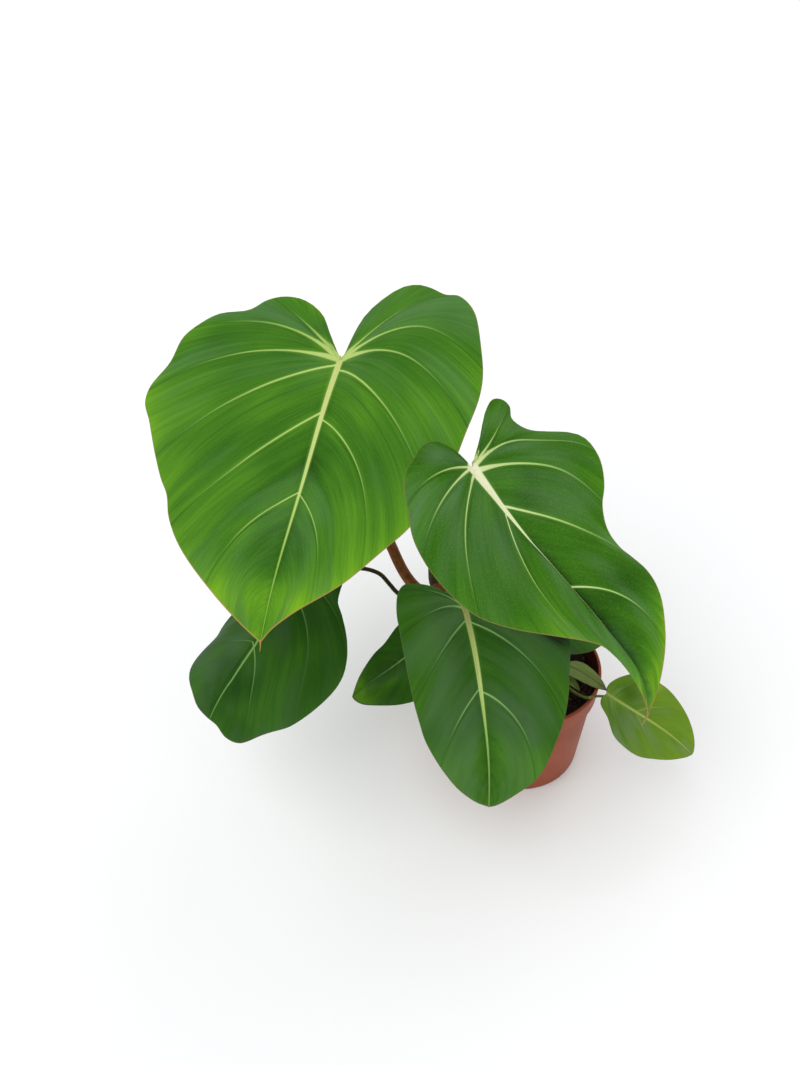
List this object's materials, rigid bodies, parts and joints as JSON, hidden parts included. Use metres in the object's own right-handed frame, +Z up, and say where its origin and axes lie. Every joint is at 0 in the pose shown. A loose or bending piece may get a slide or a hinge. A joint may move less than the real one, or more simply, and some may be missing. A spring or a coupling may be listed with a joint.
{
  "type": "potted philodendron gloriosum",
  "caption": "Potted creeping aroid with large heart-shaped velvety leaf blades on long stalks, pale veins, a short rhizome and a round terracotta-coloured nursery pot.",
  "frame": {"origin": "middle of the pot's flat base, on the surface it stands on", "axes": "+Z up along the pot's axis; -Y towards the side the leaf faces are turned to; the large leaves lean out over -X and the small olive leaf over +X"},
  "size_m": [0.4153, 0.2901, 0.4124],
  "materials": {
    "pot_plastic": "satin moulded polypropylene, terracotta colour",
    "potting_mix": "dark damp peat and bark crumbs",
    "rhizome_skin": "matte ringed bark-like skin",
    "red_stalk": "satin red-brown skin with pale lengthwise streaks",
    "dark_stalk": "satin dark olive-brown skin",
    "fresh_blade": "velvety bright green with pale yellow-green veins",
    "dark_blade": "velvety deep green with cream veins",
    "olive_blade": "satin light olive green with faint veins",
    "sheath_skin": "satin olive green with fine lengthwise fibres"
  },
  "bodies": {
    "root": {"pot": "pot_plastic", "soil": "potting_mix", "rhizome": "rhizome_skin", "leaf_blade_1": "fresh_blade", "leaf_stalk_1": "red_stalk", "leaf_blade_2": "dark_blade", "leaf_stalk_2": "dark_stalk", "leaf_blade_3": "dark_blade", "leaf_stalk_3": "red_stalk", "leaf_blade_4": "dark_blade", "leaf_stalk_4": "dark_stalk", "leaf_blade_5": "dark_blade", "leaf_stalk_5": "dark_stalk", "leaf_blade_6": "olive_blade", "leaf_stalk_6": "dark_stalk", "leaf_blade_7": "dark_blade", "leaf_stalk_7": "dark_stalk", "cataphyll_1": "sheath_skin", "cataphyll_2": "sheath_skin"}
  },
  "joints": []
}
